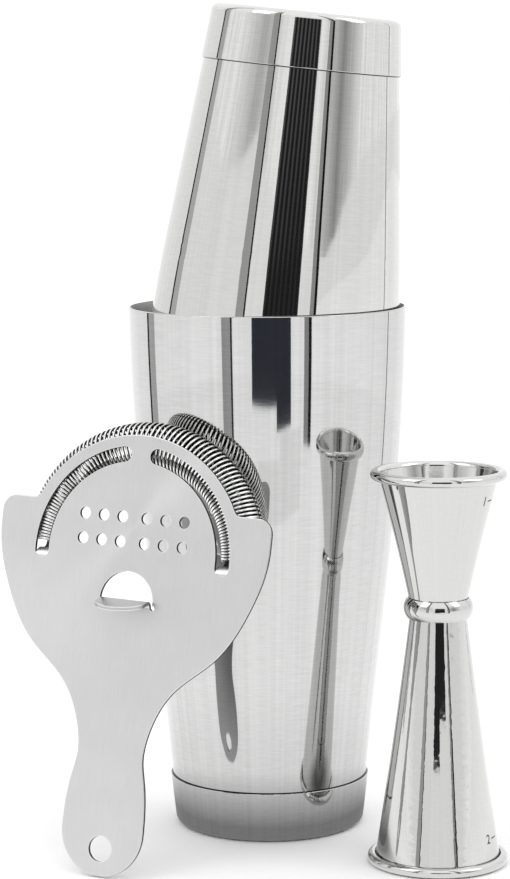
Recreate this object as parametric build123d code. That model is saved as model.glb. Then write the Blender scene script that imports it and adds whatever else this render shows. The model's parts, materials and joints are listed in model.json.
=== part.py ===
from build123d import *
import math
import os

# Cocktail shaker set: two weighted tins, a Hawthorne strainer and a double jigger.
# Millimetres, +Z up. The origin is the centre of the large tin's base, which stands on Z = 0.

# ---------------------------------------------------------------- driving dimensions
SHEET = 0.7                  # tin wall thickness
CUP_FLOOR = 1.0              # thickness of a tin's inner floor
CAP_SHEET = 0.6              # wall of the weighted base cap
CAP_FIT = 0.04               # hairline between a cup and its base cap
CAP_BOTTOM = 1.2             # floor of the base cap
BASE_GROOVE = 0.4            # depth of the pressed ring under the base
BASE_GROOVE_WIDTH = 3.0
BASE_GROOVE_INSET = 6.0      # from the edge of the base's flat to the ring's inner edge
BALLAST_PLAY = 0.1           # space above and below the ballast disc
BALLAST_INSET = 3.0          # how far the disc stays inside the base's flat
BALLAST_CHAMFER = 0.6
CUP_CORNER_R = 6.0           # outside corner between a cup's wall and its floor
CAP_CORNER_R = 2.4           # outside corner of a base cap
RIM_EDGE = 0.25              # rounding of a cup's cut rim
CAP_LIP = 0.3                # rounding of a cap's upper edge

LARGE_HEIGHT = 174.0         # large tin, 28 oz size
LARGE_RIM_R = 46.0
LARGE_RIM_LEAN = 1.0         # wall angle from the axis at the rim, degrees
LARGE_TAPER = 6.4            # wall angle below the bend, degrees
LARGE_BEND_Z = 84.0          # the wall is straight below this height and curved above it
LARGE_CAP_HEIGHT = 16.8
LARGE_FLOOR_Z = 7.5          # underside of the cup inside the cap

SMALL_HEIGHT = 140.0         # small tin, 18 oz size
SMALL_RIM_R = 42.3
SMALL_RIM_LEAN = 0.0
SMALL_TAPER = 6.35
SMALL_BEND_Z = 76.0
SMALL_CAP_HEIGHT = 17.9
SMALL_FLOOR_Z = 6.5
SMALL_MOUTH = (-1.4, 0.2, 130.9)   # centre of the upturned tin's mouth, inside the large tin
SMALL_TILT_SIDE = 6.1        # degrees, base towards +X
SMALL_TILT_FRONT = 1.4       # degrees, base towards -Y

PLATE = 1.2                  # strainer plate thickness
PLATE_EDGE = 0.3             # rounding along the plate's edges
HEAD_R = 38.67               # strainer head
HEAD_V = 100.8               # its centre, measured up the plate from the tip of the handle
EAR_HALF = 48.0              # half the span over the ears
EAR_TOP = 116.9
EAR_CORNER = 5.0
EAR_NOTCH = 2.4              # inside corner between an ear and the head
HANDLE_END_R = 14.4
HANG_HOLE_R = 4.05
HANG_HOLE_V = 8.7
SLOT_R = 32.1                # centre line of the two arc slots
SLOT_V = 101.4               # centre of the slots and of the spring's ring
SLOT_WIDTH = 4.95
SLOT_TOP_GAP = 10.4          # degrees from the middle of the head to a slot's upper end
SLOT_FOOT = -2.0             # degrees, a slot's lower end
DRAIN_R = 1.9                # drain holes: two rows of three each side of the middle
DRAIN_FIRST = 4.3
DRAIN_PITCH = 6.7
DRAIN_V = 109.3
DRAIN_ROW = 3.95
MOON_R = 9.4                 # half-moon cut whose tongue is the finger rest
MOON_V = 86.8
MOON_FOLD_V = 85.4
MOON_NICK_R = 0.8            # relief nicks at the ends of the fold
TONGUE_BEND = 105.0          # degrees that the finger rest is folded forwards
TONGUE_BEND_R = 0.8
TONGUE_CLEARANCE = 0.8       # between the tongue's sides and the nicks
TONGUE_SHORT = 1.0           # how much the tongue's tip is drawn back by the bend
HOOK_WIDTH = 4.2             # tongues behind the slots' lower ends, which hold the spring
HOOK_THICKNESS = 0.96        # a little thinner than the plate, where the metal is drawn
HOOK_ROOT = 0.3              # how far a tongue starts inside the plate below its slot
HOOK_RISE = 0.4              # straight run between the plate's bend and the tongue's
HOOK_BEND_R = 2.6
HOOK_DEPTH = 6.4             # from the plate's middle to the part of the tongue inside the coil
HOOK_TIP = 5.6               # how far that part reaches up the coil

COIL_RING_R = 35.4           # ring that the spring's centre line follows
COIL_OUTER_R = 7.4
WIRE = 0.8
COIL_TURNS = 82
COIL_GAP = 0.35              # between the plate's back and the coil
COIL_CROWDING = 0.2          # how much closer the turns stand at the spring's two ends
COIL_END = 3.0               # degrees above the slots' centre line where each end starts
COIL_PATH_SIDES = 4          # corners of the path in one turn
COIL_CORNER_SHARE = 0.97     # how far the path's corners stand out, as a share of a true square's

STRAINER_YAW = 25.4          # degrees, the face turned from -Y towards -X
STRAINER_LEAN = 11.0         # degrees, leaning back against the large tin
STRAINER_ROLL = -1.7         # degrees, in its own plane
STRAINER_TIP = (-54.75, -69.8)

JIGGER_AT = (53.4, -52.9)
JIGGER_HEIGHT = 126.4
JIGGER_SHEET = 0.7
JIGGER_WAIST_Z = 82.3        # where the two cups meet, back to back
JIGGER_WAIST_R = 8.8
JIGGER_FLARE = 0.35          # how far the walls bow inwards at mid height
JIGGER_CORNER_R = 0.9        # corner round a cup's closed end
JIGGER_TOP_R = 21.65         # over the rolled rim
JIGGER_FOOT_R = 22.45
RIM_ROLL_R = 1.6             # outside radius of the rolled rims
RIM_ROLL_END = -115.0        # degrees, where the roll's cut edge ends
RING_R = 11.1                # band round the waist
RING_HEIGHT = 6.4
RING_EDGE_R = 9.95
RING_FIT = 0.03              # hairline between the band and the cups
CUP_GAP = 0.02               # between the two cups' closed ends


# ---------------------------------------------------------------- small helpers
def lathe(*edges):
    """Solid of revolution about Z from edges in the XZ plane."""
    return revolve(make_face(edges), Axis.Z)


def ring_edges(part, radius, z, reach=0.3):
    """Circular edges of a part near one radius and height."""
    return [e for e in part.edges().filter_by(GeomType.CIRCLE)
            if abs(e.radius - radius) < reach and abs(e.center().Z - z) < reach]


# ---------------------------------------------------------------- tins
def tin_body(height, rim_r, rim_lean, taper, bend_z, inset, floor_z, top_z, corner):
    """Solid inside a tin's outer curve: straight taper, then an arc that steepens to the rim."""
    lean, slope = math.radians(rim_lean), math.radians(taper)
    arc_r = (height - bend_z) / (math.sin(slope) - math.sin(lean))
    centre_r = rim_r - arc_r * math.cos(lean)
    centre_z = height + arc_r * math.sin(lean)

    def on_arc(z):
        return centre_r + math.sqrt((arc_r - inset) ** 2 - (z - centre_z) ** 2)

    bend = (centre_r + (arc_r - inset) * math.cos(slope), centre_z - (arc_r - inset) * math.sin(slope))

    def on_taper(z):
        return bend[0] - (bend[1] - z) * math.tan(slope)

    foot = (on_taper(floor_z), 0, floor_z)
    if top_z <= bend[1]:
        top = (on_taper(top_z), 0, top_z)
        wall = [Line(foot, top)]
    else:
        top = (on_arc(top_z), 0, top_z)
        knee = (bend[0], 0, bend[1])
        middle_z = (bend[1] + top_z) / 2
        wall = [Line(foot, knee), ThreePointArc(knee, (on_arc(middle_z), 0, middle_z), top)]
    floor_centre, top_centre = (0, 0, floor_z), (0, 0, top_z)
    solid = lathe(Line(floor_centre, foot), *wall, Line(top, top_centre), Line(top_centre, floor_centre))
    return fillet(ring_edges(solid, foot[0], floor_z), corner)


def weighted_tin(height, rim_r, rim_lean, taper, bend_z, cap_height, floor_z):
    """Cup, base cap and ballast disc of one upright tin standing on Z = 0."""
    shape = (height, rim_r, rim_lean, taper, bend_z)
    cup = tin_body(*shape, 0, floor_z, height, CUP_CORNER_R)
    cup -= tin_body(*shape, SHEET, floor_z + CUP_FLOOR, height + 1, CUP_CORNER_R - SHEET)
    rim = [e for e in cup.edges().filter_by(GeomType.CIRCLE) if abs(e.center().Z - height) < 0.01]
    cup = fillet(rim, RIM_EDGE)

    cap_out = CAP_FIT + CAP_SHEET
    cap = tin_body(*shape, -cap_out, 0, cap_height, CAP_CORNER_R)
    cap -= tin_body(*shape, -CAP_FIT, CAP_BOTTOM, cap_height + 1, CAP_CORNER_R - CAP_SHEET)
    base_r = max(e.radius for e in cap.edges().filter_by(GeomType.CIRCLE) if abs(e.center().Z) < 0.01)
    groove_in = base_r - BASE_GROOVE_INSET
    groove_out = groove_in + BASE_GROOVE_WIDTH
    groove_top = (groove_in + BASE_GROOVE_WIDTH / 2, 0, BASE_GROOVE)
    cap -= lathe(
        Line((groove_in, 0, 0), (groove_out, 0, 0)),
        ThreePointArc((groove_out, 0, 0), groove_top, (groove_in, 0, 0)),
    )
    lip = [e for e in cap.edges().filter_by(GeomType.CIRCLE) if abs(e.center().Z - cap_height) < 0.01]
    cap = fillet(max(lip, key=lambda e: e.radius), CAP_LIP)

    ballast_z = CAP_BOTTOM + BALLAST_PLAY
    ballast_h = floor_z - BALLAST_PLAY - ballast_z
    ballast = Pos(0, 0, ballast_z + ballast_h / 2) * Cylinder(base_r - BALLAST_INSET, ballast_h)
    ballast = chamfer(ballast.edges().filter_by(GeomType.CIRCLE), BALLAST_CHAMFER)
    return cup, cap, ballast


def small_tin_place():
    """Turns the small tin over and seats its mouth in the large tin."""
    upside_down = Pos(0, 0, SMALL_HEIGHT) * Rot(180, 0, 0)
    return Pos(*SMALL_MOUTH) * Rot(SMALL_TILT_FRONT, 0, 0) * Rot(0, SMALL_TILT_SIDE, 0) * upside_down


# ---------------------------------------------------------------- strainer
# Drawn flat: X across the plate, Y up from the tip of its handle, Z to the front.
def mirrored(shape):
    return shape + mirror(shape, Plane.YZ)


def plate_outline():
    """Handle, shoulders, ears and round head as one face."""
    side = [
        (HANDLE_END_R, HANDLE_END_R),
        (11.7, 40.0),
        (18.2, 57.9),
        (33.0, 71.5),
        (43.6, 89.0),
        (EAR_HALF, 108.0),
    ]
    half = make_face([
        Line((0, 0), (0, EAR_TOP)),
        Line((0, EAR_TOP), (EAR_HALF - EAR_CORNER, EAR_TOP)),
        RadiusArc((EAR_HALF - EAR_CORNER, EAR_TOP), (EAR_HALF, EAR_TOP - EAR_CORNER), EAR_CORNER),
        Line((EAR_HALF, EAR_TOP - EAR_CORNER), side[-1]),
        Spline(*reversed(side), tangents=[(0, -1), (0, -1)]),
        RadiusArc(side[0], (0, 0), HANDLE_END_R),
    ])
    body = mirrored(half) + Pos(0, HEAD_V) * Circle(HEAD_R)
    notches = [v for v in body.vertices()
               if abs(v.Y - EAR_TOP) < 0.1 and abs(math.hypot(v.X, v.Y - HEAD_V) - HEAD_R) < 0.1]
    return fillet(notches, EAR_NOTCH)


def arc_slot():
    """The right-hand slot, which follows the head's edge."""
    top = 90 - SLOT_TOP_GAP
    path = Pos(0, SLOT_V) * CenterArc((0, 0), SLOT_R, SLOT_FOOT, top - SLOT_FOOT)
    return SlotArc(path, SLOT_WIDTH)


def drain_holes():
    spots = [(side * (DRAIN_FIRST + DRAIN_PITCH * i), DRAIN_V + row * DRAIN_ROW)
             for side in (-1, 1) for i in range(3) for row in (-1, 1)]
    return Sketch() + [Pos(x, y) * Circle(DRAIN_R) for x, y in spots]


def moon_reach():
    """Half the length of the finger rest's fold."""
    return math.sqrt(MOON_R ** 2 - (MOON_V - MOON_FOLD_V) ** 2)


def half_moon():
    """The cut round the finger rest, with a relief nick at each end of its fold."""
    above = Pos(0, MOON_FOLD_V) * Rectangle(4 * MOON_R, 4 * MOON_R, align=(Align.CENTER, Align.MIN))
    moon = (Pos(0, MOON_V) * Circle(MOON_R)) & above
    nick = Pos(moon_reach() + 0.2, MOON_FOLD_V + 0.1) * Circle(MOON_NICK_R)
    return moon + mirrored(nick)


def finger_rest():
    """The half-moon tongue, folded out of the plate towards the front."""
    reach = moon_reach() - TONGUE_CLEARANCE
    fold = Pos(0, MOON_FOLD_V, -PLATE / 2) * Box(2 * reach, 0.02, PLATE)
    fold_plane = Plane(origin=(0, MOON_FOLD_V, -PLATE / 2), x_dir=(1, 0, 0), z_dir=(0, 1, 0))
    section = fold_plane * Rectangle(2 * reach, PLATE)
    hinge = Axis((0, MOON_FOLD_V, TONGUE_BEND_R), (1, 0, 0))
    bend = revolve(section, hinge, TONGUE_BEND)
    flat = Pos(0, MOON_V - MOON_FOLD_V - TONGUE_SHORT) * Circle(MOON_R - PLATE_EDGE)
    flat &= Rectangle(2 * reach, 4 * MOON_R, align=(Align.CENTER, Align.MIN))
    tongue = extrude(flat, -PLATE)
    tongue = Pos(0, MOON_FOLD_V, 0) * tongue
    return fold + bend + tongue.rotate(hinge, TONGUE_BEND)


def spring_hook():
    """Tongue at the foot of the right-hand slot: back through the coil's end, then up inside it."""
    foot = SLOT_V + SLOT_R * math.sin(math.radians(SLOT_FOOT)) - SLOT_WIDTH / 2 - HOOK_ROOT
    shelf = foot + HOOK_BEND_R + HOOK_RISE
    middle = -PLATE / 2
    back = middle - HOOK_DEPTH
    path = FilletPolyline(
        (0, foot, middle),
        (0, shelf, middle),
        (0, shelf, back),
        (0, foot + HOOK_BEND_R + HOOK_TIP, back),
        radius=HOOK_BEND_R * 0.92,
    )
    section = Plane(origin=path @ 0, z_dir=path % 0, x_dir=(1, 0, 0)) * Rectangle(HOOK_WIDTH, HOOK_THICKNESS)
    return Pos(SLOT_R, 0, 0) * sweep(section, path=path)


def strainer_plate():
    face = plate_outline()
    face -= mirrored(arc_slot())
    face -= drain_holes()
    face -= half_moon()
    face -= Pos(0, HANG_HOLE_V) * Circle(HANG_HOLE_R)
    plate = extrude(face, -PLATE)
    rim = plate.faces().filter_by(Axis.Z).sort_by(Axis.Z)
    plate = fillet(rim[0].outer_wire().edges() + rim[-1].outer_wire().edges(), PLATE_EDGE)
    return plate + finger_rest() + mirrored(spring_hook())


def coil_spring():
    """One wire wound round a half ring behind the head; straight runs joined by tangent arcs."""
    wire_r = COIL_OUTER_R - WIRE / 2
    depth = PLATE + COIL_GAP + COIL_OUTER_R
    corner_r = COIL_CORNER_SHARE * wire_r / math.cos(math.pi / COIL_PATH_SIDES)
    first, last = math.radians(COIL_END), math.radians(180 - COIL_END)
    count = COIL_TURNS * COIL_PATH_SIDES
    corners = []
    for i in range(count + 1):
        t = i / count
        along = first + (last - first) * (t - COIL_CROWDING * math.sin(2 * math.pi * t) / (2 * math.pi))
        turn = 2 * math.pi * i / COIL_PATH_SIDES
        r = COIL_RING_R + corner_r * math.cos(turn)
        behind = corner_r * math.sin(turn) - depth
        corners.append(Vector(r * math.cos(along), SLOT_V + r * math.sin(along), behind))
    radii = []
    for a, b, c in zip(corners, corners[1:], corners[2:]):
        half_turn = math.radians((b - a).get_angle(c - b)) / 2
        radii.append(0.45 * min((b - a).length, (c - b).length) / math.tan(half_turn))
    path = FilletPolyline(*corners, radius=radii)
    print(f"spring wire {path.length:.0f} mm long, bends {min(radii):.2f} to {max(radii):.2f} mm")
    return sweep(Plane(origin=path @ 0, z_dir=path % 0) * Circle(WIRE / 2), path=path)


def strainer_place(plate):
    """Leans the strainer on the large tin with the tip of its handle on Z = 0."""
    yaw, lean = math.radians(STRAINER_YAW), math.radians(STRAINER_LEAN)
    front = Vector(-math.sin(yaw) * math.cos(lean), -math.cos(yaw) * math.cos(lean), math.sin(lean))
    across = Vector(math.cos(yaw), -math.sin(yaw), 0)
    plane = Plane(origin=(*STRAINER_TIP, 0), x_dir=across, z_dir=front)
    turned = plane.location * Rot(0, 0, STRAINER_ROLL)
    drop = (turned * plate).bounding_box().min.Z
    return Pos(0, 0, -drop) * turned


# ---------------------------------------------------------------- jigger
def jigger_cup(rim_outer_r, depth):
    """Upright cup with its closed end on Z = 0 and an outward-rolled rim at Z = depth."""
    roll_r = rim_outer_r - RIM_ROLL_R
    roll_z = depth - RIM_ROLL_R
    wall_r = roll_r - RIM_ROLL_R + JIGGER_SHEET
    foot, top = (JIGGER_WAIST_R, 0, 0), (wall_r, 0, roll_z)
    middle = ((foot[0] + top[0]) / 2 - JIGGER_FLARE, 0, roll_z / 2)
    inner_top = (wall_r - JIGGER_SHEET, 0, roll_z)
    inner_foot = (JIGGER_WAIST_R - JIGGER_SHEET, 0, JIGGER_SHEET)
    inner_middle = (middle[0] - JIGGER_SHEET * 1.02, 0, (roll_z + JIGGER_SHEET) / 2)
    cup = lathe(
        Line((0, 0, 0), foot),
        ThreePointArc(foot, middle, top),
        Line(top, inner_top),
        ThreePointArc(inner_top, inner_middle, inner_foot),
        Line(inner_foot, (0, 0, JIGGER_SHEET)),
        Line((0, 0, JIGGER_SHEET), (0, 0, 0)),
    )
    corners = ring_edges(cup, foot[0], 0, 0.05) + ring_edges(cup, inner_foot[0], JIGGER_SHEET, 0.05)
    cup = fillet(corners, JIGGER_CORNER_R)

    def around(radius, angle):
        a = math.radians(angle)
        return (roll_r + radius * math.cos(a), 0, roll_z + radius * math.sin(a))

    inside, start = RIM_ROLL_R - JIGGER_SHEET, 180
    half = (start + RIM_ROLL_END) / 2
    roll = lathe(
        ThreePointArc(around(RIM_ROLL_R, start), around(RIM_ROLL_R, half), around(RIM_ROLL_R, RIM_ROLL_END)),
        Line(around(RIM_ROLL_R, RIM_ROLL_END), around(inside, RIM_ROLL_END)),
        ThreePointArc(around(inside, RIM_ROLL_END), around(inside, half), around(inside, start)),
        Line(around(inside, start), around(RIM_ROLL_R, start)),
    )
    return cup + roll


def cup_slope(rim_outer_r, depth):
    """How fast a jigger cup widens above its closed end."""
    wall_r = rim_outer_r - 2 * RIM_ROLL_R + JIGGER_SHEET
    return (wall_r - JIGGER_WAIST_R) / (depth - RIM_ROLL_R)


def waist_ring():
    """Rounded band pressed over the joint between the two cups, its bore shaped to both."""
    half = RING_HEIGHT / 2
    waist = JIGGER_WAIST_R + RING_FIT
    above = waist + half * cup_slope(JIGGER_TOP_R, JIGGER_HEIGHT - JIGGER_WAIST_Z)
    below = waist + half * cup_slope(JIGGER_FOOT_R, JIGGER_WAIST_Z)
    return lathe(
        Line((below, 0, -half), (RING_EDGE_R, 0, -half)),
        ThreePointArc((RING_EDGE_R, 0, -half), (RING_R, 0, 0), (RING_EDGE_R, 0, half)),
        Line((RING_EDGE_R, 0, half), (above, 0, half)),
        Line((above, 0, half), (waist, 0, 0)),
        Line((waist, 0, 0), (below, 0, -half)),
    )


# ---------------------------------------------------------------- assembly
def build():
    nodes = {}
    large = weighted_tin(LARGE_HEIGHT, LARGE_RIM_R, LARGE_RIM_LEAN, LARGE_TAPER, LARGE_BEND_Z,
                         LARGE_CAP_HEIGHT, LARGE_FLOOR_Z)
    small = weighted_tin(SMALL_HEIGHT, SMALL_RIM_R, SMALL_RIM_LEAN, SMALL_TAPER, SMALL_BEND_Z,
                         SMALL_CAP_HEIGHT, SMALL_FLOOR_Z)
    pieces = ("cup", "base_cap", "ballast_disc")
    for piece, solid in zip(pieces, large):
        nodes[f"large_tin_{piece}"] = solid
    for piece, solid in zip(pieces, small):
        nodes[f"small_tin_{piece}"] = small_tin_place() * solid

    plate = strainer_plate()
    place = strainer_place(plate)
    nodes["strainer_plate"] = place * plate
    nodes["strainer_spring"] = place * coil_spring()

    waist = Pos(*JIGGER_AT, JIGGER_WAIST_Z)
    small_cup = jigger_cup(JIGGER_TOP_R, JIGGER_HEIGHT - JIGGER_WAIST_Z - CUP_GAP)
    large_cup = jigger_cup(JIGGER_FOOT_R, JIGGER_WAIST_Z)
    nodes["jigger_small_cup"] = waist * Pos(0, 0, CUP_GAP) * small_cup
    nodes["jigger_large_cup"] = waist * Rot(180, 0, 0) * large_cup
    nodes["jigger_waist_ring"] = waist * waist_ring()
    return nodes


def main():
    os.makedirs("parts", exist_ok=True)
    for name, solid in build().items():
        solid.label = name
        export_step(solid, f"parts/{name}.step")
        print(f"{name}: {len(solid.solids())} solid, {solid.volume / 1000:.2f} cm3")


main()
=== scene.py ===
"""Looks of the cocktail shaker set: steels, a wound spring, printed marks, a light tent and the camera."""
import json
import math

import bmesh
import bpy
from mathutils import Matrix, Vector
from mathutils.bvhtree import BVHTree

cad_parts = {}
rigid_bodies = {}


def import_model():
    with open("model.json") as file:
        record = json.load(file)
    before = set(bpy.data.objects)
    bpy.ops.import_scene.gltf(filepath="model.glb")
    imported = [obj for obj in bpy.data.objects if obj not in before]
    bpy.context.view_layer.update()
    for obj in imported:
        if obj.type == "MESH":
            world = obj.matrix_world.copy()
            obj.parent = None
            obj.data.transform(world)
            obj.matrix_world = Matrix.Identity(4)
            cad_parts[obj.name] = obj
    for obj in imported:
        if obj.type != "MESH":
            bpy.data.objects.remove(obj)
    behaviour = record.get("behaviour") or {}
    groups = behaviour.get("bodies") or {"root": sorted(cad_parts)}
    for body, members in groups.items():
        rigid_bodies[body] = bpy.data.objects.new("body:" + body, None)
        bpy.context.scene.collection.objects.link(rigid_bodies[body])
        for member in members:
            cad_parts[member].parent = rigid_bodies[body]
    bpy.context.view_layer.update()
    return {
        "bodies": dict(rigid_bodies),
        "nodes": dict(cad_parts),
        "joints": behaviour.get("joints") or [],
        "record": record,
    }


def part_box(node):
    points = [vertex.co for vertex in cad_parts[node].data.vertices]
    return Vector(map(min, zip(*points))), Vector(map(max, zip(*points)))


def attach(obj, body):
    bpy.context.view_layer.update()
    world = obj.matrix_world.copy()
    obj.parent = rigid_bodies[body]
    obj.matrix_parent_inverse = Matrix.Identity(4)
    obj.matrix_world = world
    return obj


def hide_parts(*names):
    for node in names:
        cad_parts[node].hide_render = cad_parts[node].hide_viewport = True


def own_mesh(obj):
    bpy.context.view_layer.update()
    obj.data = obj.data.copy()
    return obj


MM = 0.001

# Camera: in front of the set, a little above the rim, looking along +Y.
CAMERA_AT = Vector((-4.324, -909.385, 245.933)) * MM
CAMERA_PITCH = math.radians(7.309)
CAMERA_ROLL = math.radians(0.323)
CAMERA_LENS = 112.69
CAMERA_SENSOR = 36.0

# The spring's winding, in millimetres and degrees, drawn in the strainer plate's own directions.
HANG_HOLE_UP = 8.7           # from the tip of the handle to the hanging hole
PLATE = 1.2
RING_UP = 101.4              # centre of the ring that the spring follows
RING_R = 35.4
WIRE_R = 0.48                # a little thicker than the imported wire, inside the same outer size
TURN_R = 6.92                # centre of the wire from the middle of the coil
TURNS = 82
COIL_GAP = 0.35
COIL_CROWDING = 0.2
COIL_END = 3.0
STEPS_PER_TURN = 30
WIRE_SIDES = 10
OPEN_SIDE = "open_side"      # 1 where the wire faces out of the coil, 0 on its sides and inner face, which get painted shade

SMALL_TIN_TILTS = (1.4, 6.1)  # degrees that the small tin leans, about X and about Y

# Finishes: colour, roughness, anisotropy, how far the lines tilt reflections, how much they vary the
# tone, and how satin the inner wall is.
# The base colours were tuned to the photograph's brightness.
LARGE_TIN_FINISH = ((0.545, 0.547, 0.543), 0.045, 0.5, 0.25, 0.08, 1.0)
SMALL_TIN_FINISH = ((0.615, 0.615, 0.605), 0.035, 0.4, 0.10, 0.06, 1.0)
JIGGER_FINISH = ((0.575, 0.576, 0.570), 0.04, 0.3, 0.06, 0.03, 0.3)

SEAM_PAINTED_SHADE = (0.10, 0.26)     # millimetres from a cap's seam: full painted shade, and none
LINE_DEPTH = (1.6e-5, 1.5e-6)    # metres of broad waves and fine lines at full tilt
INNER_ROUGHNESS = 0.27       # added where the inner wall is fully satin
INNER_COLOUR = (0.70, 0.70, 0.69)

# Printed marks on the jigger: text, cup node, height, azimuth from +X, letter height.
MARKS = (
    ("jigger_mark_1", "1", "jigger_small_cup", 117.4, -34.0, 3.0),
    ("jigger_mark_2", "2", "jigger_large_cup", 9.6, -32.0, 3.0),
)
MARK_DEPTH = 0.02
MARK_BOLD = 0.05
LETTER_SIZE = 1.4            # font size for a numeral of height 1
MARK_GAP = 0.9
MARK_LINE = (3.2, 0.42)      # length and width of the fill line beside a numeral

# The light tent, in metres and degrees. Azimuth 0 is towards the camera and 90 towards +X.
TENT_R = 0.57
TENT_TOP = 1.3
SEAM_STEP = 0.004            # every second seam stands this much further out
SEAMS = (                    # dark seams and the grey bands beside them: azimuth, width, radiance
    (-29.0, 1.6, 0.01),
    (-33.4, 7.0, 0.46),
    (33.6, 2.4, 0.01),
    (30.6, 3.6, 0.36),
    (-113.0, 2.4, 0.02),
    (-107.8, 8.0, 0.58),
    (114.6, 1.2, 0.20),
)
CLOTH_LEVEL = 1.15           # radiance of the upper cloth between its folds
FOLDS = (                    # azimuth, half width and depth of the cloth's darker folds
    (-48, 30, 0.55),
    (-114, 12, 0.40),
    (48, 26, 0.80),
)
HEM = (                      # azimuth and elevation of the cloth's lower edge
    (-40, 12.5), (40, 2.0), (115, -0.5),
)
LOWER_WALL = 1.06            # radiance of the plain wall below the hem
SHEET_GLOW = (               # distance from the middle and radiance of the white sheet on the floor
    (0.04, 0.3), (0.08, 1.15), (0.15, 1.3), (0.9, 1.2),
)
SHEET_CORNERS = 72
SILL_GLOW = 1.1
FLOOR_HALF = 6.0
FLOOR_Z = -0.0002
SHEET_Z = 0.0005
MAT_Z = 0.001
SOFTBOX_AIM = (0.0, 0.0, 0.1)
SOFTBOXES = (                # name, place, size and power
    ("softbox_left", (-1.1, -0.7, 1.3), (0.7, 0.9), 3.0),
    ("softbox_right", (1.2, -0.5, 1.2), (0.6, 0.9), 2.5),
)
SLIT = (-13.0, 18.5)         # azimuths between which the tent is open to the dark room
SLIT_FLOOR = (               # from azimuth to azimuth, where the white sheet ends inside the slit
    (-13.0, 7.0, 0.72),
    (7.0, 18.5, 0.61),
)
SLIT_BACK = 2.0
SLIT_TOP = 0.95
MAT_COLOUR = (0.040, 0.044, 0.058)
LOUVRE_PITCH = 0.155
LOUVRE_TINT = (0.97, 0.97, 1.0)
LOUVRE_DARK = 0.018
LOUVRE_RISE = (0.35, 0.75, 0.018, 0.14)     # from height to height, the slats' glow from faint to clear
SLIT_SILL = 0.35             # distance of a low white sill that crosses the slit
SLIT_SILL_STEPS = (          # from x to x, and its height there
    (-0.050, 0.056, 0.044),
    (0.056, 0.170, 0.060),
)


# ---------------------------------------------------------------- node helpers
class Nodes:
    """A node tree with short calls. Values may be numbers, vectors or sockets."""

    def __init__(self, tree):
        self.tree = tree
        tree.nodes.clear()

    def add(self, kind, inputs=None, **settings):
        node = self.tree.nodes.new(kind)
        for name, value in settings.items():
            setattr(node, name, value)
        for name, value in (inputs or {}).items():
            self.put(node.inputs[name], value)
        return node

    def put(self, socket, value):
        if isinstance(value, bpy.types.NodeSocket):
            self.tree.links.new(value, socket)
        else:
            socket.default_value = value

    def math(self, operation, *values, clamp=False):
        node = self.add("ShaderNodeMath", dict(enumerate(values)), operation=operation, use_clamp=clamp)
        return node.outputs["Value"]

    def vector(self, operation, *values):
        node = self.add("ShaderNodeVectorMath", dict(enumerate(values)), operation=operation)
        return node.outputs["Value" if operation in ("DOT_PRODUCT", "LENGTH") else "Vector"]

    def scaled(self, vector, factor):
        node = self.add("ShaderNodeVectorMath", {0: vector, "Scale": factor}, operation="SCALE")
        return node.outputs["Vector"]

    def noise(self, vector, scale, detail=2.0, roughness=0.5):
        inputs = {"Vector": vector, "Scale": scale, "Detail": detail, "Roughness": roughness}
        return self.add("ShaderNodeTexNoise", inputs).outputs["Fac"]

    def spread(self, value, low, high, to_low, to_high):
        inputs = {"Value": value, "From Min": low, "From Max": high, "To Min": to_low, "To Max": to_high}
        return self.add("ShaderNodeMapRange", inputs).outputs["Result"]

    def polyline(self, value, corners):
        """A curve through corners (place, height) that stays level before the first and after the last."""
        total = corners[0][1]
        for (a, low), (b, high) in zip(corners, corners[1:]):
            total = self.math("ADD", total, self.spread(value, a, b, 0.0, high - low))
        return total

    def ramp(self, value, stops):
        node = self.add("ShaderNodeValToRGB", {"Fac": value})
        elements = node.color_ramp.elements
        while len(elements) < len(stops):
            elements.new(0.5)
        for element, (place, colour) in zip(elements, stops):
            element.position = place
            element.color = (*colour, 1.0)
        return node.outputs["Color"]

    def show(self, light, output="ShaderNodeOutputMaterial"):
        """Makes the output of a shader node what the tree shows."""
        self.tree.links.new(light, self.add(output).inputs["Surface"])

    def mix(self, share, a, b):
        node = self.add("ShaderNodeMix", {0: share, 6: a, 7: b}, data_type="RGBA")
        return node.outputs[2]


def grey(level):
    return (level, level, level)


def new_material(name):
    material = bpy.data.materials.new(name)
    material.use_nodes = True
    return material, Nodes(material.node_tree)


def steel_shader(name, roughness, anisotropic=0.0):
    """A new metal material, its nodes and its shader."""
    material, nodes = new_material(name)
    shader = nodes.add("ShaderNodeBsdfPrincipled")
    shader.inputs["Metallic"].default_value = 1.0
    shader.inputs["Roughness"].default_value = roughness
    shader.inputs["Anisotropic"].default_value = anisotropic
    nodes.show(shader.outputs["BSDF"])
    return material, nodes, shader


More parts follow.
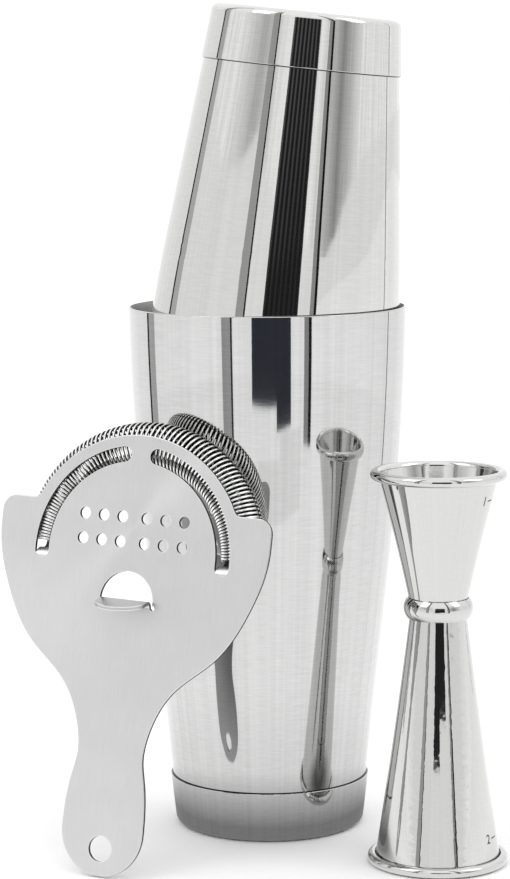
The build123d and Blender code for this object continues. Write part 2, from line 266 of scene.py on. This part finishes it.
# ---------------------------------------------------------------- materials
def turned_steel(name, centre, axis, finish, seam=None):
    """Drawn and spun steel: fine polishing lines run round the axis and smear reflections along the wall.

    finish is one of the tuples above. seam is the height, measured from centre along axis, of a joint
    that gets a hairline of painted shade.
    """
    colour, roughness, anisotropic, line_tilt, contrast, inner_satin = finish
    material, nodes, shader = steel_shader(name, roughness, anisotropic)
    position = nodes.add("ShaderNodeTexCoord").outputs["Object"]
    true_normal = nodes.add("ShaderNodeNewGeometry").outputs["Normal"]
    offset = nodes.vector("SUBTRACT", position, centre)
    height = nodes.vector("DOT_PRODUCT", offset, axis)
    radial = nodes.vector("SUBTRACT", offset, nodes.scaled(axis, height))
    outward = nodes.vector("NORMALIZE", radial)
    reach = nodes.vector("LENGTH", radial)
    along_wall = nodes.vector("ADD", axis, nodes.scaled(outward, 0.05))

    def lines(per_metre, round_count, detail):
        across = nodes.math("MULTIPLY", nodes.math("ADD", height, reach), per_metre)
        place = nodes.vector("ADD", nodes.scaled(outward, round_count), nodes.scaled(axis, across))
        return nodes.noise(place, 1.0, detail)

    fine = lines(2400.0, 7.0, 2.0)
    broad = lines(230.0, 1.2, 3.0)
    along = nodes.scaled(axis, nodes.math("MULTIPLY", height, 6.0))
    drawn = nodes.noise(nodes.vector("ADD", nodes.scaled(outward, 26.0), along), 1.0, 3.0)
    facing_end = nodes.math("ABSOLUTE", nodes.vector("DOT_PRODUCT", true_normal, axis))
    on_wall = nodes.spread(facing_end, 0.35, 0.75, 1.0, 0.0)
    drawn = nodes.math("ADD", 0.5, nodes.math("MULTIPLY", nodes.math("SUBTRACT", drawn, 0.5), on_wall))
    tone = nodes.math("ADD", nodes.math("MULTIPLY", fine, 0.45), nodes.math("MULTIPLY", drawn, 0.55))
    dark = tuple(c * (1 - contrast) for c in colour)
    light = tuple(min(1.0, c * (1 + contrast)) for c in colour)
    metal = nodes.ramp(tone, ((0.35, dark), (0.65, light)))
    if seam is not None:
        # Painted shade: a near-black hairline along the cap's seam, where the joint's gap lies.
        off_seam = nodes.math("ABSOLUTE", nodes.math("SUBTRACT", height, seam))
        painted_seam_shade = nodes.spread(off_seam, SEAM_PAINTED_SHADE[0] * MM, SEAM_PAINTED_SHADE[1] * MM, 1.0, 0.0)
        metal = nodes.mix(painted_seam_shade, metal, (0.02, 0.02, 0.02, 1.0))
    facing_out = nodes.vector("DOT_PRODUCT", true_normal, outward)
    inside = nodes.spread(facing_out, -0.3, -0.6, 0.0, inner_satin)
    metal = nodes.mix(inside, metal, (*INNER_COLOUR, 1.0))
    nodes.put(shader.inputs["Base Color"], metal)
    worn = nodes.math("ADD", nodes.math("MULTIPLY", fine, 0.5), nodes.math("MULTIPLY", broad, 0.5))
    polish = nodes.spread(worn, 0.3, 0.7, roughness * 0.8, roughness * 1.25)
    satin = nodes.math("MULTIPLY", inside, INNER_ROUGHNESS)
    nodes.put(shader.inputs["Roughness"], nodes.math("ADD", polish, satin))
    bump_broad = nodes.add("ShaderNodeBump", {"Height": broad, "Distance": LINE_DEPTH[0] * line_tilt})
    inputs = {"Height": fine, "Distance": LINE_DEPTH[1] * line_tilt, "Normal": bump_broad.outputs["Normal"]}
    bump = nodes.add("ShaderNodeBump", inputs)
    nodes.put(shader.inputs["Normal"], bump.outputs["Normal"])
    nodes.put(shader.inputs["Tangent"], along_wall)
    return material


def plate_steel(name, tip, across, up, front):
    """Rolled sheet, satin finished up and down the plate, with painted shade on its back and on the finger
    rest.

    Its corners are polished by handling and carry a painted highlight; the sheared edges between them carry
    painted shade.
    These tones are matched to the photograph's brightness, not to a finish that it shows.
    """
    material, nodes, shader = steel_shader(name, 0.36, 0.35)
    position = nodes.add("ShaderNodeTexCoord").outputs["Object"]
    side = nodes.math("MULTIPLY", nodes.vector("DOT_PRODUCT", position, across), 3200.0)
    rise = nodes.math("MULTIPLY", nodes.vector("DOT_PRODUCT", position, up), 110.0)
    place = nodes.add("ShaderNodeCombineXYZ", {"X": side, "Y": rise}).outputs["Vector"]
    grain = nodes.noise(place, 1.0, 2.0)
    speckle = nodes.noise(position, 1500.0, 2.0)
    clouds = nodes.noise(position, 45.0, 4.0)
    bevel = nodes.add("ShaderNodeBevel", {"Radius": 0.5 * MM}, samples=6).outputs["Normal"]
    normal = nodes.add("ShaderNodeNewGeometry").outputs["Normal"]
    facing = nodes.vector("DOT_PRODUCT", bevel, normal)
    edge = nodes.spread(facing, 0.995, 0.94, 0.0, 1.0)
    tone = nodes.math("ADD", nodes.math("MULTIPLY", grain, 0.5), nodes.math("MULTIPLY", clouds, 0.5))
    sheet = nodes.ramp(tone, ((0.3, grey(0.60)), (0.7, grey(0.67))))
    to_front = nodes.vector("DOT_PRODUCT", normal, front)
    middle = tip.dot(front) - PLATE / 2 * MM
    off_middle = nodes.math("SUBTRACT", nodes.vector("DOT_PRODUCT", position, front), middle)
    # Painted shade: the back of the plate and the finger rest are painted darker.
    on_back = nodes.spread(to_front, -0.9, -0.4, 1.0, 0.0)
    on_rest = nodes.spread(off_middle, 0.9 * MM, 2.0 * MM, 0.0, 0.75)
    back_and_rest_shade = nodes.math("MAXIMUM", on_back, on_rest)
    sheet = nodes.mix(back_and_rest_shade, sheet, nodes.ramp(tone, ((0.3, grey(0.36)), (0.7, grey(0.43)))))
    # Painted highlight: the rounded corners are painted lighter.
    lit_edge = nodes.mix(edge, sheet, (0.82, 0.82, 0.81, 1.0))
    # Painted shade: the sheared edges are painted near black.
    turned_to_front = nodes.math("ABSOLUTE", to_front)
    in_sheet = nodes.spread(nodes.math("ABSOLUTE", off_middle), 0.65 * MM, 0.90 * MM, 1.0, 0.0)
    sheared = nodes.math("MULTIPLY", nodes.spread(turned_to_front, 0.35, 0.75, 1.0, 0.0), in_sheet)
    nodes.put(shader.inputs["Base Color"], nodes.mix(sheared, lit_edge, (0.06, 0.06, 0.06, 1.0)))
    satin = nodes.spread(tone, 0.3, 0.7, 0.32, 0.41)
    worn = nodes.math("MULTIPLY", edge, 0.16)
    nodes.put(shader.inputs["Roughness"], nodes.math("SUBTRACT", satin, worn))
    relief = nodes.math("ADD", nodes.math("MULTIPLY", grain, 0.6), nodes.math("MULTIPLY", speckle, 0.4))
    bump = nodes.add("ShaderNodeBump", {"Height": relief, "Distance": 8e-6})
    nodes.put(shader.inputs["Normal"], bump.outputs["Normal"])
    nodes.put(shader.inputs["Tangent"], tuple(up))
    return material


def wire_steel(name):
    """Bright drawn spring wire with faint drawing marks, with painted shade on its sides and inner face, in
    the narrow gaps between turns.
    """
    material, nodes, shader = steel_shader(name, 0.12)
    position = nodes.add("ShaderNodeTexCoord").outputs["Object"]
    marks = nodes.noise(position, 1900.0, 3.0)
    tarnish = nodes.noise(position, 160.0, 2.0)
    bright = nodes.ramp(tarnish, ((0.3, (0.74, 0.74, 0.73)), (0.7, (0.88, 0.88, 0.87))))
    open_side = nodes.add("ShaderNodeAttribute", attribute_name=OPEN_SIDE).outputs["Fac"]
    # Painted shade: the wire's sides and inner face are painted near black.
    free_of_painted_shade = nodes.spread(open_side, 0.52, 0.86, 0.0, 1.0)
    nodes.put(shader.inputs["Base Color"], nodes.mix(free_of_painted_shade, (0.015, 0.015, 0.015, 1.0), bright))
    nodes.put(shader.inputs["Roughness"], nodes.spread(marks, 0.3, 0.7, 0.08, 0.20))
    bump = nodes.add("ShaderNodeBump", {"Height": marks, "Distance": 4e-6})
    nodes.put(shader.inputs["Normal"], bump.outputs["Normal"])
    return material


def ballast_steel(name):
    """Plain cut bar, dull and slightly mottled; it is hidden inside the bases."""
    material, nodes, shader = steel_shader(name, 0.5)
    position = nodes.add("ShaderNodeTexCoord").outputs["Object"]
    scale = nodes.noise(position, 240.0, 4.0)
    nodes.put(shader.inputs["Base Color"], nodes.ramp(scale, ((0.3, grey(0.30)), (0.7, grey(0.44)))))
    nodes.put(shader.inputs["Roughness"], nodes.spread(scale, 0.3, 0.7, 0.42, 0.60))
    bump = nodes.add("ShaderNodeBump", {"Height": scale, "Distance": 2e-5})
    nodes.put(shader.inputs["Normal"], bump.outputs["Normal"])
    return material


def mark_ink(name):
    """Dark laser-marked surface, a little uneven."""
    material, nodes, shader = steel_shader(name, 0.55)
    shader.inputs["Metallic"].default_value = 0.0
    position = nodes.add("ShaderNodeTexCoord").outputs["Object"]
    burn = nodes.noise(position, 2600.0, 3.0)
    nodes.put(shader.inputs["Base Color"], nodes.ramp(burn, ((0.3, grey(0.02)), (0.7, grey(0.07)))))
    nodes.put(shader.inputs["Roughness"], nodes.spread(burn, 0.3, 0.7, 0.45, 0.65))
    return material


def glow(name, colour=(1.0, 1.0, 1.0)):
    """A new material that gives off light, its nodes and its shader."""
    material, nodes = new_material(name)
    shader = nodes.add("ShaderNodeEmission", {"Color": (*colour, 1.0), "Strength": 1.0})
    nodes.show(shader.outputs["Emission"])
    return material, nodes, shader


def plain_glow(name, colour):
    """The same light everywhere."""
    return glow(name, colour)[0]


def sheet_glow(name):
    """The white sheet as reflections see it: brightest around the set, shaded beneath it."""
    material, nodes, shader = glow(name)
    distance = nodes.vector("LENGTH", nodes.add("ShaderNodeTexCoord").outputs["Object"])
    nodes.put(shader.inputs["Strength"], nodes.polyline(distance, SHEET_GLOW))
    return material


def louvre_glow(name):
    """The dark room's screen: faint upright slats, clearer towards its top."""
    material, nodes, shader = glow(name, LOUVRE_TINT)
    place = nodes.add("ShaderNodeTexCoord").outputs["Object"]
    parts = nodes.add("ShaderNodeSeparateXYZ", {"Vector": place})
    wave = nodes.math("SINE", nodes.math("MULTIPLY", parts.outputs["X"], 2 * math.pi / LOUVRE_PITCH))
    slats = nodes.spread(wave, -0.2, 1.0, 0.0, 1.0)
    rise = nodes.spread(parts.outputs["Z"], *LOUVRE_RISE)
    level = nodes.math("ADD", LOUVRE_DARK, nodes.math("MULTIPLY", slats, rise))
    nodes.put(shader.inputs["Strength"], level)
    return material


def floor_white(name):
    """White seamless sheet with a very faint fibre."""
    material, nodes = new_material(name)
    position = nodes.add("ShaderNodeTexCoord").outputs["Object"]
    fibre = nodes.ramp(nodes.noise(position, 60.0, 4.0), ((0.3, grey(0.93)), (0.7, grey(0.95))))
    nodes.show(nodes.add("ShaderNodeBsdfDiffuse", {"Color": fibre}).outputs["BSDF"])
    return material


# ---------------------------------------------------------------- pieces
def new_mesh(name, vertices, faces, material, smooth=True):
    mesh = bpy.data.meshes.new(name)
    mesh.from_pydata(vertices, [], faces)
    mesh.update()
    obj = bpy.data.objects.new(name, mesh)
    bpy.context.scene.collection.objects.link(obj)
    mesh.materials.append(material)
    if smooth:
        mesh.polygons.foreach_set("use_smooth", [True] * len(mesh.polygons))
    return obj


def plate_frame(frame):
    """The strainer's handle tip and its directions across, up and to the front, at rest."""
    axes = {joint["name"]: Vector(joint["axis"]) for joint in frame["joints"]}
    front = axes["strainer_pull"].normalized()
    up = -axes["spring_press"].normalized()
    across = up.cross(front)
    hole = next(m for m in frame["record"]["mounts"] if m["name"] == "hanging_hole")
    tip = Vector(hole["pos_m"]) - up * HANG_HOLE_UP * MM + front * PLATE / 2 * MM
    return tip, across, up, front


def coil_spring(frame, material):
    """The wire wound round its half ring, as one smooth tube with closed ends."""
    tip, across, up, front = plate_frame(frame)
    depth = PLATE + COIL_GAP + TURN_R + WIRE_R
    first, last = math.radians(COIL_END), math.radians(180 - COIL_END)
    count = TURNS * STEPS_PER_TURN

    def centre_line(step):
        t = step / count
        along = first + (last - first) * (t - COIL_CROWDING * math.sin(2 * math.pi * t) / (2 * math.pi))
        turn = 2 * math.pi * TURNS * t
        out = across * math.cos(along) + up * math.sin(along)
        leaving = out * math.cos(turn) + front * math.sin(turn)
        ring_point = tip + (out * RING_R + up * RING_UP - front * depth) * MM
        return ring_point + leaving * TURN_R * MM, leaving

    line, leaving = zip(*[centre_line(step) for step in range(count + 1)])
    vertices, faces, open_side = [], [], []
    for i, point in enumerate(line):
        ahead = (line[min(i + 1, count)] - line[max(i - 1, 0)]).normalized()
        side = ahead.cross(front).normalized()
        other = ahead.cross(side)
        for k in range(WIRE_SIDES):
            angle = 2 * math.pi * k / WIRE_SIDES
            normal = side * math.cos(angle) + other * math.sin(angle)
            vertices.append(point + normal * WIRE_R * MM)
            open_side.append(max(0.0, normal.dot(leaving[i])))
    for i in range(count):
        for k in range(WIRE_SIDES):
            a = i * WIRE_SIDES + k
            b = i * WIRE_SIDES + (k + 1) % WIRE_SIDES
            faces.append((a, b, b + WIRE_SIDES, a + WIRE_SIDES))
    faces.append(tuple(reversed(range(WIRE_SIDES))))
    faces.append(tuple(range(count * WIRE_SIDES, (count + 1) * WIRE_SIDES)))
    coil = new_mesh("strainer_coil", vertices, faces, material)
    coil.data.attributes.new(OPEN_SIDE, "FLOAT", "POINT").data.foreach_set("value", open_side)
    bm = bmesh.new()
    bm.from_mesh(coil.data)
    bmesh.ops.recalc_face_normals(bm, faces=bm.faces)
    bm.to_mesh(coil.data)
    bm.free()
    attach(coil, "strainer")
    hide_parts("strainer_spring")
    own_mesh(coil)
    return coil


def flat_mark(name, text, size):
    """A numeral and a fill line beside it, flat in XY, in millimetres."""
    curve = bpy.data.curves.new(name, "FONT")
    curve.body = text
    curve.size = size * LETTER_SIZE
    curve.offset = MARK_BOLD
    curve.align_x = "RIGHT"
    curve.align_y = "CENTER"
    holder = bpy.data.objects.new(name, curve)
    bpy.context.scene.collection.objects.link(holder)
    bpy.context.view_layer.update()
    mesh = bpy.data.meshes.new_from_object(holder)
    bpy.data.objects.remove(holder)
    bm = bmesh.new()
    bm.from_mesh(mesh)
    length, width = MARK_LINE
    start, end = MARK_GAP, MARK_GAP + length
    corners = ((start, -width / 2), (end, -width / 2), (end, width / 2), (start, width / 2))
    bm.faces.new([bm.verts.new((x, y, 0)) for x, y in corners])
    bmesh.ops.triangulate(bm, faces=bm.faces)
    bmesh.ops.subdivide_edges(bm, edges=[e for e in bm.edges if e.calc_length() > 0.8], cuts=2)
    bm.to_mesh(mesh)
    bm.free()
    return mesh


def jigger_mark(frame, name, text, node, height, azimuth, size, material):
    """Wraps a flat mark on a cup by casting each point onto the cup's own surface."""
    low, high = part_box(node)
    centre = (low + high) / 2
    cup = frame["nodes"][node].data
    tree = BVHTree.FromPolygons([v.co for v in cup.vertices], [p.vertices for p in cup.polygons])

    def wall(angle, z):
        outside = Vector((centre.x, centre.y, z)) + Vector((math.cos(angle), math.sin(angle), 0)) * 0.1
        hit = tree.ray_cast(outside, Vector((-math.cos(angle), -math.sin(angle), 0)))
        return hit[0], hit[1]

    middle = math.radians(azimuth)
    touch = wall(middle, height * MM)[0]
    radius = math.hypot(touch.x - centre.x, touch.y - centre.y)
    mesh = flat_mark(name, text, size)
    for vertex in mesh.vertices:
        point, normal = wall(middle + vertex.co.x * MM / radius, (height + vertex.co.y) * MM)
        vertex.co = point + normal * MARK_DEPTH * MM
    mesh.materials.append(material)
    mark = bpy.data.objects.new(name, mesh)
    bpy.context.scene.collection.objects.link(mark)
    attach(mark, "jigger")
    return mark


def cad_finish(frame, materials):
    """Gives every CAD node that stays its material."""
    for node, material in materials.items():
        for slot in frame["nodes"][node].material_slots:
            slot.material = material


# ---------------------------------------------------------------- studio
def around(azimuth, radius):
    """The point (x, y) at an azimuth and a distance from the middle."""
    angle = math.radians(azimuth)
    return radius * math.sin(angle), -radius * math.cos(angle)


def card(name, corners, material):
    """A glowing card that only reflections see."""
    obj = new_mesh(name, corners, [tuple(range(len(corners)))], material, smooth=False)
    obj.visible_camera = False
    obj.visible_diffuse = False
    obj.visible_shadow = False


def upright(left, right, foot, top):
    """Corners of an upright card between two points (x, y)."""
    return [(*left, foot), (*right, foot), (*right, top), (*left, top)]


def seam_cards():
    """The tent's seams and the grey bands beside them, upright strips that stand on the floor."""
    for i, (azimuth, width, level) in enumerate(SEAMS):
        radius = TENT_R + SEAM_STEP * (i % 2)
        left, right = (around(azimuth + turn, radius) for turn in (-width / 2, width / 2))
        name = f"tent_seam_{i + 1}"
        card(name, upright(left, right, 0.0, TENT_TOP), plain_glow(name, grey(level)))


def slit_cards():
    """The open slit: a dark mat on the floor, the dark room behind it and a low white sill across it."""
    for i, (first, last, near) in enumerate(SLIT_FLOOR):
        left, right = (math.tan(math.radians(a)) for a in (first, last))
        mat = [(left * near, -near, MAT_Z), (right * near, -near, MAT_Z)]
        mat += [(right * SLIT_BACK, -SLIT_BACK, MAT_Z), (left * SLIT_BACK, -SLIT_BACK, MAT_Z)]
        name = f"slit_floor_{i + 1}"
        card(name, mat, plain_glow(name, MAT_COLOUR))
    left, right = (math.tan(math.radians(a)) * SLIT_BACK for a in SLIT)
    room = upright((left, -SLIT_BACK), (right, -SLIT_BACK), 0.0, SLIT_TOP)
    card("slit_room", room, louvre_glow("slit_room"))
    for i, (left, right, top) in enumerate(SLIT_SILL_STEPS):
        name = f"slit_sill_{i + 1}"
        sill = upright((left, -SLIT_SILL), (right, -SLIT_SILL), 0.0, top)
        card(name, sill, plain_glow(name, grey(SILL_GLOW)))


def sheet_card():
    """A round card just above the floor, for reflections of the white sheet."""
    reach = SHEET_GLOW[-1][0]
    rim = [around(i * 360.0 / SHEET_CORNERS, reach) for i in range(SHEET_CORNERS)]
    card("sheet", [(x, y, SHEET_Z) for x, y in rim], sheet_glow("sheet"))


def floor():
    size = FLOOR_HALF
    corners = [(-size, -size, 0), (size, -size, 0), (size, size, 0), (-size, size, 0)]
    obj = new_mesh("floor", corners, [(0, 1, 2, 3)], floor_white("floor_white"), smooth=False)
    obj.location.z = FLOOR_Z


def tent_world():
    """White tent cloth, folded and woven above its hem, a plain wall below it, and bright overhead."""
    world = bpy.data.worlds.new("tent")
    bpy.context.scene.world = world
    world.use_nodes = True
    nodes = Nodes(world.node_tree)
    direction = nodes.add("ShaderNodeTexCoord").outputs["Generated"]
    parts = nodes.add("ShaderNodeSeparateXYZ", {"Vector": direction})
    back = nodes.math("MULTIPLY", parts.outputs["Y"], -1.0)
    turn = nodes.math("ARCTAN2", parts.outputs["X"], back)
    azimuth = nodes.math("DEGREES", turn)
    elevation = nodes.math("DEGREES", nodes.math("ARCSINE", parts.outputs["Z"]))

    level = CLOTH_LEVEL
    for place, half, depth in FOLDS:
        fold = nodes.polyline(azimuth, ((place - half, 0.0), (place, depth), (place + half, 0.0)))
        level = nodes.math("SUBTRACT", level, fold)
    wrinkles = nodes.noise(nodes.vector("MULTIPLY", direction, (14.0, 14.0, 5.0)), 1.0, 5.0, 0.65)
    pleats = nodes.noise(nodes.vector("MULTIPLY", direction, (22.0, 22.0, 0.6)), 1.0, 2.0)
    weave = nodes.noise(direction, 120.0, 3.0)
    shade = nodes.spread(wrinkles, 0.3, 0.7, 0.93, 1.07)
    shade = nodes.math("ADD", shade, nodes.spread(pleats, 0.3, 0.7, -0.07, 0.07))
    shade = nodes.math("ADD", shade, nodes.spread(weave, 0.3, 0.7, -0.12, 0.12))
    level = nodes.math("MULTIPLY", level, shade)
    cloth = nodes.add("ShaderNodeCombineColor", {"Red": level, "Green": level, "Blue": level})
    above_hem = nodes.math("SUBTRACT", elevation, nodes.polyline(azimuth, HEM))
    upper = nodes.spread(above_hem, 0.0, 0.15, 0.0, 1.0)
    wall = nodes.mix(upper, (*grey(LOWER_WALL), 1.0), cloth.outputs["Color"])
    overhead = nodes.spread(elevation, 18.0, 38.0, 0.0, 1.0)
    sky = nodes.mix(overhead, wall, (1.3, 1.3, 1.3, 1.0))
    shader = nodes.add("ShaderNodeBackground", {"Color": sky, "Strength": 1.0})
    nodes.show(shader.outputs["Background"], "ShaderNodeOutputWorld")


def softbox(name, place, size, power):
    lamp = bpy.data.lights.new(name, "AREA")
    lamp.shape = "RECTANGLE"
    lamp.size, lamp.size_y = size
    lamp.energy = power
    obj = bpy.data.objects.new(name, lamp)
    bpy.context.scene.collection.objects.link(obj)
    obj.location = place
    obj.rotation_mode = "QUATERNION"
    obj.rotation_quaternion = (Vector(SOFTBOX_AIM) - Vector(place)).to_track_quat("-Z", "Y")
    obj.visible_camera = False


def studio():
    floor()
    sheet_card()
    seam_cards()
    slit_cards()
    tent_world()
    for box in SOFTBOXES:
        softbox(*box)
    bpy.context.scene.view_settings.view_transform = "Standard"


def camera():
    ahead = Vector((0, math.cos(CAMERA_PITCH), -math.sin(CAMERA_PITCH)))
    level = Vector((1, 0, 0))
    below = ahead.cross(level)
    right = level * math.cos(CAMERA_ROLL) + below * math.sin(CAMERA_ROLL)
    down = below * math.cos(CAMERA_ROLL) - level * math.sin(CAMERA_ROLL)
    data = bpy.data.cameras.new("camera")
    data.lens = CAMERA_LENS
    data.sensor_width = CAMERA_SENSOR
    data.clip_start, data.clip_end = 0.01, 50.0
    obj = bpy.data.objects.new("camera", data)
    bpy.context.scene.collection.objects.link(obj)
    turn = Matrix((right, -down, -ahead)).transposed().to_4x4()
    obj.matrix_world = Matrix.Translation(CAMERA_AT) @ turn
    bpy.context.scene.camera = obj


# ---------------------------------------------------------------- the set
def tin_foot(frame, tin):
    """The middle of a tin's ballast disc, on the tin's centre line."""
    disc = frame["nodes"][f"{tin}_ballast_disc"].data
    return sum((v.co for v in disc.vertices), Vector()) / len(disc.vertices)


def main():
    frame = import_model()
    camera()

    up = Vector((0, 0, 1))
    to_front, to_right = (math.radians(a) for a in SMALL_TIN_TILTS)
    small_axis = Matrix.Rotation(to_front, 3, "X") @ Matrix.Rotation(to_right, 3, "Y") @ up
    small_foot = tin_foot(frame, "small_tin")
    small_cap = frame["nodes"]["small_tin_base_cap"].data.vertices
    small_seam = min((v.co - small_foot).dot(small_axis) for v in small_cap)
    large_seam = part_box("large_tin_base_cap")[1].z
    ring_low, ring_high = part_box("jigger_waist_ring")
    jigger_waist = (ring_low + ring_high) / 2
    tip, across, plate_up, front = plate_frame(frame)

    large = turned_steel("large_tin_steel", (0, 0, 0), up, LARGE_TIN_FINISH, seam=large_seam)
    small_foot = tuple(small_foot)
    small = turned_steel("small_tin_steel", small_foot, small_axis, SMALL_TIN_FINISH, seam=small_seam)
    jigger = turned_steel("jigger_steel", tuple(jigger_waist), up, JIGGER_FINISH)
    ballast = ballast_steel("ballast_steel_plain")
    plate = plate_steel("strainer_steel", tip, across, plate_up, front)
    wire = wire_steel("spring_steel")
    ink = mark_ink("mark_black")

    cad_finish(frame, {
        "large_tin_cup": large,
        "large_tin_base_cap": large,
        "large_tin_ballast_disc": ballast,
        "small_tin_cup": small,
        "small_tin_base_cap": small,
        "small_tin_ballast_disc": ballast,
        "strainer_plate": plate,
        "jigger_small_cup": jigger,
        "jigger_large_cup": jigger,
        "jigger_waist_ring": jigger,
    })
    coil_spring(frame, wire)
    for mark in MARKS:
        jigger_mark(frame, *mark, ink)
    studio()


main()
